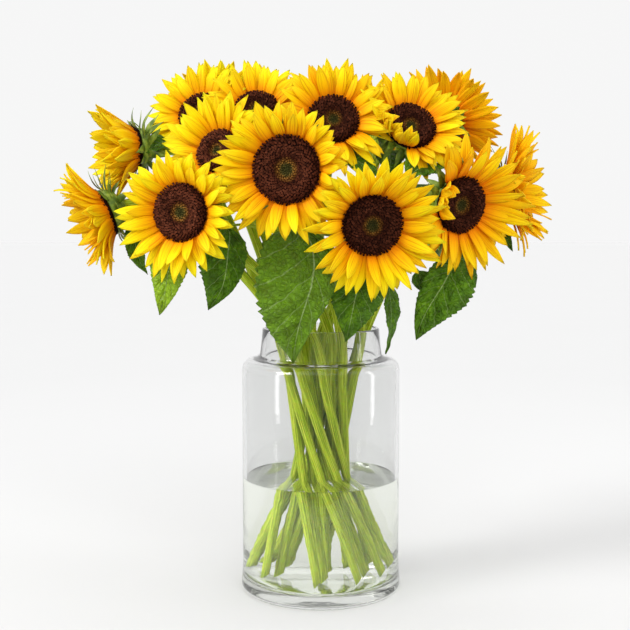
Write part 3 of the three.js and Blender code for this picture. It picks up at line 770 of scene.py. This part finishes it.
def petal_material():
    """Gold along the petal's own length, with brown lines that differ on each petal. A petal's tone
    deepens it all over, partly its own amber and partly painted shade, and some light shines
    through."""
    made, tree, shader = new_material("golden_petal")
    place = add_node(tree, "UVMap", uv_map="UVMap")[0]
    gold = ramp(tree, add_node(tree, "SeparateXYZ", {0: place})["Y"],
                (0.0, (0.82, 0.17, 0.0)), (0.16, (0.97, 0.34, 0.0)), (0.38, (1.0, 0.61, 0.0)),
                (0.66, (1.0, 0.83, 0.004)), (1.0, (1.0, 0.92, 0.02)))
    # The tone deepens the gold: partly the head's own amber, partly painted shade.
    age = add_node(tree, "Attribute", attribute_name="tone")["Fac"]
    apart = add_node(tree, "CombineXYZ", {"Z": age})[0]
    shift = add_node(tree, "VectorMath", {0: apart, "Scale": 40}, operation="SCALE")[0]
    stretched = add_node(tree, "Mapping", {"Vector": place, "Scale": (13, 0.9, 1)})[0]
    own = add_node(tree, "VectorMath", {0: stretched, 1: shift}, operation="ADD")[0]
    lines = noise(tree, own, 1.0, 3)
    line_tone = ramp(tree, lines, (0.34, (0.70, 0.42, 0.20)), (0.48, (1, 1, 1)))
    lined = blended(tree, 0.75, gold, line_tone, "MULTIPLY")
    deeper = blended(tree, age, lined, (0.97, 0.60, 0.4, 1), "MULTIPLY")
    feed(tree, shader, {"Base Color": deeper, "Normal": bumped(tree, lines, 0.45, 0.5),
                        "Roughness": 0.6, "Specular IOR Level": 0.1})
    mixed_in(tree, shader, 0.3, add_node(tree, "BsdfTranslucent", {"Color": deeper}))
    return made


def channelled(blade):
    """Presses two lengthwise channels into the flat petal."""
    rows, columns = len(PETAL_OUTLINE) - 1, len(PETAL_CHANNEL) - 1
    for vertex in blade.data.vertices:
        width = max(PETAL_OUTLINE[round(vertex.co.y / MM * rows)], 0.01)
        column = round((vertex.co.x / MM / width + 0.5) * columns)
        vertex.co.z += PETAL_CHANNEL[min(max(column, 0), columns)] * CHANNEL_DEPTH * MM
    return blade


def laid_petal(root, turn, rise, curl, tip, length, width, roll, twist, sway):
    """A petal's points in its head's frame. It leaves the root at `rise`, bends back by
    `curl` and more at its tip, rolls its edges up by `roll` and turns by `twist`."""
    share = np.clip(PETAL_POINTS[:, 1], 0, 1)
    steps = np.linspace(0, 1, 17)
    bends = rise - curl * steps - tip * steps**3
    run, climb = run_and_climb((bends[1:] + bends[:-1]) / 2, length)
    angle = np.interp(share, steps, bends)
    flat = PETAL_POINTS[:, 0] * width
    lift = PETAL_POINTS[:, 2] * length + roll * width * (2 * PETAL_POINTS[:, 0]) ** 2 * 0.5
    turned = twist * share**0.8
    across = flat * np.cos(turned) - lift * np.sin(turned) + sway * share**2
    above = flat * np.sin(turned) + lift * np.cos(turned)
    outward = root + np.interp(share, steps, run) - np.sin(angle) * above
    height = ROOT_DEPTH + np.interp(share, steps, climb) + np.cos(angle) * above
    return round_the_head(outward, across, height, turn)


petal_master = channelled(blade_grid("petal_master", len(PETAL_CHANNEL) - 1, PETAL_OUTLINE))
petal_master = thicken(petal_master, PETAL_THICKNESS)
PETAL_POINTS = points_of(petal_master)
petal_master.data.materials.append(petal_material())

for id_, at, faces, disc, petal, cup_angle, *_ in FLOWERS:
    place = head_place(at, faces)
    shapes, tones = [], []
    long_way, long_by = LONG_SIDE.get(id_, (0, 0))
    curled_way, curled_span, curled_long = CURLED_IN.get(id_, (0, 0, 0))
    broader, twisting = (1.2, 24) if id_ in SIDE_ON else (1, 15)
    for count, spread, long in PETAL_LAYERS:
        start = chance.uniform(0, 1)
        for k in range(count):
            turn = 2 * math.pi * (k + start + 0.2 * chance.uniform(-1, 1)) / count
            rise = cup_angle + spread + chance.normal(0, 5)
            reach = (petal + ROOT_INSET) * long
            reach *= 1 + long_by * math.cos(turn - math.radians(long_way))
            off = math.degrees(math.remainder(turn - math.radians(curled_way), 2 * math.pi))
            curl = chance.normal(16, 11)
            if abs(off) < curled_span:
                rise = CURLED_RISE + spread / 2 + chance.normal(0, 9)
                curl = chance.normal(-CURLED_RISE, 12)
                reach *= curled_long * chance.uniform(0.8, 1.15)
            tip = chance.normal(4, 17)
            reach *= chance.uniform(0.88, 1.08)
            width = PETAL_WIDTH * chance.uniform(0.85, 1.1) * broader
            roll = chance.normal(0.08, 0.13)
            twist = chance.normal(0, twisting)
            laid = laid_petal(disc / 2 - ROOT_INSET, turn, math.radians(rise), math.radians(curl),
                              math.radians(tip), reach, width, roll, math.radians(twist),
                              chance.normal(0, 2.6))
            shapes.append(placed(laid, place))
            # Each petal's tone: partly its head's own amber, partly painted shade.
            amber = np.clip(PETAL_AMBER_AND_SHADE[id_] + chance.normal(0, 0.18), 0, 1)
            tones.append(np.full(len(PETAL_POINTS), amber))
    petals = gathered(f"petals_{id_}", [petal_master] * len(shapes), shapes, tone=tones)
    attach(petals, "root")
    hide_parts(f"sunflower_{id_}_petals")

# ---------------------------------------------------------------- discs
# The dark seed disc: a cushion packed with tube florets in the spirals of a sunflower.
# The outer ones are open and rough, a tan ring follows, and the eye is olive and tight.
FLORET_SPACING = 2.05
FLORET_SPREAD = 0.54
DISC_FILL = 0.86
GOLDEN_TURN = math.radians(137.508)
CUSHION = [(0.0, 1.0), (0.18, 1.3), (0.36, 2.6), (0.58, 4.0), (0.78, 4.2), (0.93, 2.6), (1.0, 0.6)]
CUSHION_SIDES = 30
# How much lighter the floret tips of a riper head are.
DISC_LIGHT = {"01": 1.05, "02": 1.1, "03": 0.5, "08": 0.5, "10": 0.7}
PLAIN_DISC_LIGHT = 0.38


def cushion_height(share):
    return np.interp(share, *zip(*CUSHION))


def floret_master_piece():
    """An open tube floret: a five-sided cup a millimetre wide with a sunk mouth."""
    bpy.ops.mesh.primitive_cone_add(vertices=5, radius1=0.62 * MM, radius2=MM, depth=2 * MM,
                                    location=(0, 0, 0.8 * MM))
    bpy.ops.object.transform_apply()
    floret = bpy.context.object
    floret.name = "floret_master"
    bpy.ops.object.mode_set(mode="EDIT")
    bpy.ops.mesh.select_all(action="DESELECT")
    bpy.ops.object.mode_set(mode="OBJECT")
    for face in floret.data.polygons:
        face.select = face.normal.z > 0.9
    bpy.ops.object.mode_set(mode="EDIT")
    bpy.ops.mesh.select_mode(type="FACE")
    bpy.ops.mesh.inset(thickness=0.35 * MM)
    bpy.ops.transform.translate(value=(0, 0, -0.9 * MM))
    bpy.ops.object.mode_set(mode="OBJECT")
    return floret


def disc_material():
    """Maroon florets round a tan ring and an eye that is olive in a young head. They are deep at
    their roots, partly their own colour and partly painted shade down between them, and bright at
    their tips."""
    made, tree, shader = new_material("seed_disc")
    where = add_node(tree, "Attribute", attribute_name="ring")["Fac"]
    height = add_node(tree, "Attribute", attribute_name="tip")["Fac"]
    deep = ramp(tree, where, (0.0, (0.020, 0.022, 0.005)), (0.20, (0.030, 0.024, 0.004)),
                (0.28, (0.060, 0.020, 0.003)), (0.40, (0.014, 0.003, 0.002)),
                (1.0, (0.010, 0.002, 0.001)))
    bright = ramp(tree, where, (0.0, (0.07, 0.075, 0.020)), (0.17, (0.17, 0.14, 0.035)),
                  (0.25, (0.52, 0.24, 0.045)), (0.38, (0.11, 0.028, 0.012)),
                  (0.66, (0.26, 0.075, 0.036)), (0.86, (0.17, 0.042, 0.018)),
                  (1.0, (0.055, 0.011, 0.005)))
    feed(tree, shader, {"Base Color": blended(tree, height, deep, bright), "Roughness": 0.8,
                        "Specular IOR Level": 0.08})
    return made


def laid_floret(share, turn, radius):
    """A floret's points in its head's frame: it stands square on the cushion, a little
    askew, and is smaller towards the eye."""
    slope = (cushion_height(share + 0.03) - cushion_height(share - 0.03)) / (0.06 * radius)
    out = Vector((math.cos(turn), math.sin(turn), 0))
    lean = np.clip(-slope * 0.8 + 0.25 * chance.normal(), -1.2, 1.2)
    askew = Vector(chance.normal(0, 0.12, 3))
    aim = (Vector((0, 0, 1)) + out * float(lean) + askew).normalized()
    turned = np.array(aim.to_track_quat("Z", "Y").to_matrix())
    size = np.interp(share, (0, 0.25, 0.4, 1), (0.62, 0.72, 0.95, 1.0))
    tall = np.interp(share, (0, 0.25, 0.4, 0.7, 1), (0.6, 0.8, 0.9, 1.15, 1.3))
    shape = (FLORET_POINTS * (size, size, tall * chance.uniform(0.75, 1.25))) @ turned.T
    foot = (*(out * (share * (radius - 0.3)))[:2], cushion_height(share) - 0.9)
    return shape + np.array(foot)


floret = floret_master_piece()
cushion_rings = [(0.9, -3), (1.0, -2.6)] + [(max(r, 0.02), z) for r, z in reversed(CUSHION)]
cushion = drawn_up("cushion_master", cushion_rings, CUSHION_SIDES)
FLORET_POINTS = points_of(floret)
CUSHION_POINTS = points_of(cushion)
floret.data.materials.append(disc_material())
cushion.data.materials.append(floret.data.materials[0])

for id_, at, faces, disc, *_ in FLOWERS:
    place = head_place(at, faces)
    radius = disc / 2
    lowered = CUSHION_POINTS * (radius - 0.6, radius - 0.6, 1)
    lowered[:, 2] -= 0.8 * (lowered[:, 2] > 0)
    shapes = [placed(lowered, place)]
    ripe = DISC_LIGHT.get(id_, PLAIN_DISC_LIGHT)
    rings = [np.hypot(lowered[:, 0], lowered[:, 1]) / radius]
    # The cushion between the florets takes the deep root colour: partly painted shade.
    tips = [np.zeros(len(lowered))]
    count = int((radius / FLORET_SPACING * 2) ** 2 * DISC_FILL)
    for k in range(count):
        share = ((k + 0.5) / count) ** FLORET_SPREAD
        shapes.append(placed(laid_floret(share, k * GOLDEN_TURN, radius), place))
        rings.append(np.full(len(FLORET_POINTS), share))
        # Each floret is deep low down and lighter towards its tip: partly its own colour, partly
        # painted shade.
        tips.append(np.clip(FLORET_POINTS[:, 2] / 1.8 * ripe * chance.uniform(0.3, 1.5), 0, 1))
    seeds = gathered(f"seed_disc_{id_}", [cushion] + [floret] * count, shapes, ring=rings, tip=tips)
    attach(seeds, "root")
    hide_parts(f"sunflower_{id_}_disc")

# ---------------------------------------------------------------- leaves
# Broad toothed leaves on slim stalks, with a pale midrib and side veins that pucker the
# blade. One flat leaf is cut out, and each copy is arched, folded and waved in its place.
LEAF_COLUMNS = 16
LEAF_ROWS = 51
LEAF_SHAPE = [(0, 0.14), (0.05, 0.55), (0.12, 0.84), (0.26, 1.0), (0.42, 0.97), (0.58, 0.78),
              (0.74, 0.52), (0.88, 0.25), (0.96, 0.09), (1, 0.01)]
TOOTH = 0.035
LEAF_ARCH = 0.1
LEAF_FOLD = 0.24
SHEET = 0.012
LEAF_THICKNESS = 0.5
SIDE_VEINS = 5.5
VEIN_RAKE = 2.9
PUCKER = 2.4
STALK_RADIUS = 1.7
STALK_TAPER = (1, 0.9, 0.8, 0.5)
# Each row: its flower, the height where its stalk leaves the stem, the blade's foot and
# tip, its width, and the way its upper side faces.
LEAVES = [
    ("02", 320, (-127, -78, 336), (-141, -84, 268), 34, (0, -1, 0.2)),
    ("10", 330, (-84, -58, 344), (-101, -64, 271), 46, (0.2, -1, 0.1)),
    ("01", 360, (-22, -84, 346), (-25, -67, 224), 72, (0, -1, 0.15)),
    ("03", 325, (43, -72, 318), (22, -66, 243), 50, (-0.15, -1, 0.1)),
    ("07", 330, (60, -50, 296), (58, -50, 230), 22, (0.8, -0.6, 0.1)),
    ("05", 300, (89, -34, 305), (100, -40, 277), 18, (0.2, -1, 0.2)),
    ("04", 330, (126, -44, 316), (87, -42, 242), 46, (-0.1, -1, 0.25)),
    ("08", 400, (16, -44, 408), (50, -66, 388), 32, (0, -0.6, 0.8)),
    ("07", 400, (100, -34, 404), (76, -64, 384), 34, (0.1, -0.6, 0.8)),
    ("15", 390, (66, -10, 416), (60, -38, 390), 28, (0, -0.6, 0.8)),
    ("10", 380, (-92, -70, 376), (-100, -82, 354), 16, (0, -1, 0.3)),
    ("13", 400, (-141, -16, 424), (-160, -34, 412), 22, (0, -0.8, 0.6)),
    ("14", 366, (-172, -44, 346), (-156, -50, 302), 20, (-0.3, -0.9, 0.1)),
    ("05", 366, (166, 0, 350), (181, -4, 322), 12, (0, -1, 0.3)),
    ("12", 400, (-64, 62, 400), (-80, 116, 348), 56, (0, 0.6, 0.8)),
    ("06", 390, (90, 54, 388), (126, 104, 340), 52, (0.3, 0.5, 0.8)),
    ("15", 350, (38, 50, 364), (34, 112, 312), 56, (0, 0.6, 0.8)),
    ("11", 370, (-96, 26, 372), (-150, 66, 326), 50, (-0.4, 0.5, 0.8)),
    ("09", 360, (-36, 34, 370), (-26, 96, 326), 50, (0, 0.5, 0.8)),
    ("05", 320, (112, 18, 326), (156, 62, 284), 46, (0.3, 0.4, 0.8)),
]
# How far the rib of a few leaves runs to one side of the middle.
RIB_ASIDE = {("01", 360): -0.2, ("10", 330): -0.14, ("04", 330): 0.12}
# How yellow the first leaf of a stem is, and every other leaf.
LEAF_AGE = {"02": 0.75, "01": 0.25}
PLAIN_LEAF_AGE = 0.1


def leaf_width(share):
    return np.interp(share, *zip(*LEAF_SHAPE))


def toothed_widths():
    """The blade's width at each row, with uneven teeth that point to its tip."""
    widths = []
    for row in range(LEAF_ROWS + 1):
        share = row / LEAF_ROWS
        tooth = TOOTH * chance.uniform(0.3, 1.4) * min(1, 8 * share)
        widths.append(leaf_width(share) * (1 + tooth * (1 - row % 3)))
    return widths


def leaf_material():
    """Patchy green with a pale rib and fainter side veins, pillowed between the veins and
    crinkled all over. An older leaf is yellower, and some light shines through."""
    made, tree, shader = new_material("veined_leaf")
    flat = add_node(tree, "UVMap", uv_map="UVMap")[0]
    place = add_node(tree, "TexCoord")["Object"]
    age = add_node(tree, "Attribute", attribute_name="tone")["Fac"]
    split = add_node(tree, "SeparateXYZ", {0: flat})
    plus, less, times, most = (
        partial(reckoned, tree, way) for way in ("ADD", "SUBTRACT", "MULTIPLY", "MAXIMUM")
    )
    across = reckoned(tree, "ABSOLUTE", less(split["X"], 0.5), 0)
    rake = times(reckoned(tree, "POWER", across, 0.85), VEIN_RAKE)
    stray = times(noise(tree, flat, 3.5), 0.5)
    raked = plus(less(times(split["Y"], SIDE_VEINS), rake), stray)
    vein = reckoned(tree, "PINGPONG", raked, 0.5)
    side = most(less(1, times(vein, 22)), 0)
    rib = most(less(1, times(across, 62)), 0)
    lines = most(times(side, 0.5), rib)
    patches = noise(tree, place, 90, 8, 0.65)
    tone = ramp(tree, patches, (0.34, (0.013, 0.056, 0.0005)), (0.5, (0.046, 0.155, 0.001)),
                (0.70, (0.150, 0.340, 0.004)))
    aged = blended(tree, age, tone, (0.38, 0.60, 0.02, 1))
    veined = blended(tree, lines, aged, (0.40, 0.55, 0.20, 1))
    net = add_node(tree, "TexVoronoi", {"Vector": place, "Scale": 230}, feature="DISTANCE_TO_EDGE")
    crinkle = times(reckoned(tree, "MINIMUM", times(net["Distance"], 4), 1), 0.6)
    pillow = reckoned(tree, "POWER", times(vein, 2), 0.5)
    raised = plus(plus(pillow, crinkle), times(patches, 0.9))
    feed(tree, shader, {"Base Color": veined, "Normal": bumped(tree, raised, 0.9, 2.4),
                        "Roughness": 0.42, "Specular IOR Level": 0.35})
    mixed_in(tree, shader, 0.2, add_node(tree, "BsdfTranslucent", {"Color": veined}))
    return made


def laid_leaf(foot, tip, width, faces, aside, seed):
    """A leaf's points: arched along its length, folded along its rib, puckered between its
    veins and waved at its edges."""
    along = tip - foot
    length = np.linalg.norm(along)
    along /= length
    side = np.cross(along, faces)
    side /= np.linalg.norm(side)
    normal = np.cross(side, along)
    share, wide = LEAF_POINTS[:, 1], LEAF_POINTS[:, 0]
    row_width = leaf_width(share)
    edge = np.clip(np.abs(wide) / (row_width / 2 + 0.01), 0, 1)
    veins = np.abs(((share * SIDE_VEINS - np.abs(wide) * VEIN_RAKE) % 1) - 0.5) * 2
    lift = LEAF_FOLD * width * np.abs(wide) * (1 - 0.4 * edge)
    lift += PUCKER * (1 - veins) ** 2 * np.sin(math.pi * edge) * width / 50
    lift += 0.05 * width * np.sin(9 * share + seed) * edge**2 * np.sign(wide)
    lift += 0.03 * width * np.sin(26 * share + 2 * seed) * edge**3
    lift += LEAF_POINTS[:, 2] / SHEET * LEAF_THICKNESS
    arch = LEAF_ARCH * length * 4 * share * (1 - share)
    wide = wide + aside * row_width * (1 - edge**2)
    sway = 0.03 * length * (np.sin(math.pi * share) * math.sin(seed)
                            + np.sin(2 * math.pi * share) * math.cos(1.3 * seed))
    return (foot + np.outer(share * length, along) + np.outer(wide * width + sway, side)
            + np.outer(arch + lift, normal))


def point_at_height(path, z):
    """Where a stem crosses a height, above the waist of the bundle."""
    above = [k for k in range(12, len(path) - 1) if path[k][2] <= z <= path[k + 1][2]]
    if not above:
        return path[-4]
    k = above[0]
    return path[k] + (path[k + 1] - path[k]) * (z - path[k][2]) / (path[k + 1][2] - path[k][2])


def stalk_line(root, foot, tip):
    """The stalk's middle line: out of the stem, up a little, and into the blade's rib."""
    bow = root + (foot - root) * 0.6 + np.array((0, 0, 0.12 * np.linalg.norm(foot - root)))
    return np.array(smooth_curve([root, bow, foot, foot + (tip - foot) * 0.06], 8))


leaf_master = thicken(blade_grid("leaf_master", LEAF_COLUMNS, toothed_widths()), SHEET)
LEAF_POINTS = points_of(leaf_master)
leaf_master.data.materials.append(leaf_material())
# A stalk shares a mesh with its blade, so it needs a flat map too.
bar.data.uv_layers.new(name="UVMap")

for id_ in sorted({leaf[0] for leaf in LEAVES}):
    masters, shapes, tones, grains = [], [], [], []
    own_leaves = [leaf[1:] for leaf in LEAVES if leaf[0] == id_]
    for order, (start, foot, tip, width, faces) in enumerate(own_leaves):
        foot, tip = np.array(foot, float), np.array(tip, float)
        aside = RIB_ASIDE.get((id_, start), 0)
        blade = laid_leaf(foot, tip, width, faces, aside, 1.7 * order + 2.9 * int(id_))
        line = stalk_line(point_at_height(stem_paths[id_], start), foot, tip)
        stalk, grain = bar_shape(line, STALK_RADIUS * np.array(STALK_TAPER), 0)
        age = PLAIN_LEAF_AGE if order else LEAF_AGE.get(id_, PLAIN_LEAF_AGE)
        masters += [leaf_master, bar]
        shapes += [blade, stalk]
        tones += [np.full(len(blade), age), np.zeros(len(stalk))]
        grains += [np.zeros((len(blade), 3)), grain]
    leaves = gathered(f"leaves_{id_}", masters, shapes, tone=tones, grain=grains)
    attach(leaves, "root")
    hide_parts(f"sunflower_{id_}_leafy_stem")

# ---------------------------------------------------------------- done
# The masters have served.
for master in (bar, hair, bract, cup, petal_master, floret, cushion, leaf_master):
    bpy.data.objects.remove(master)
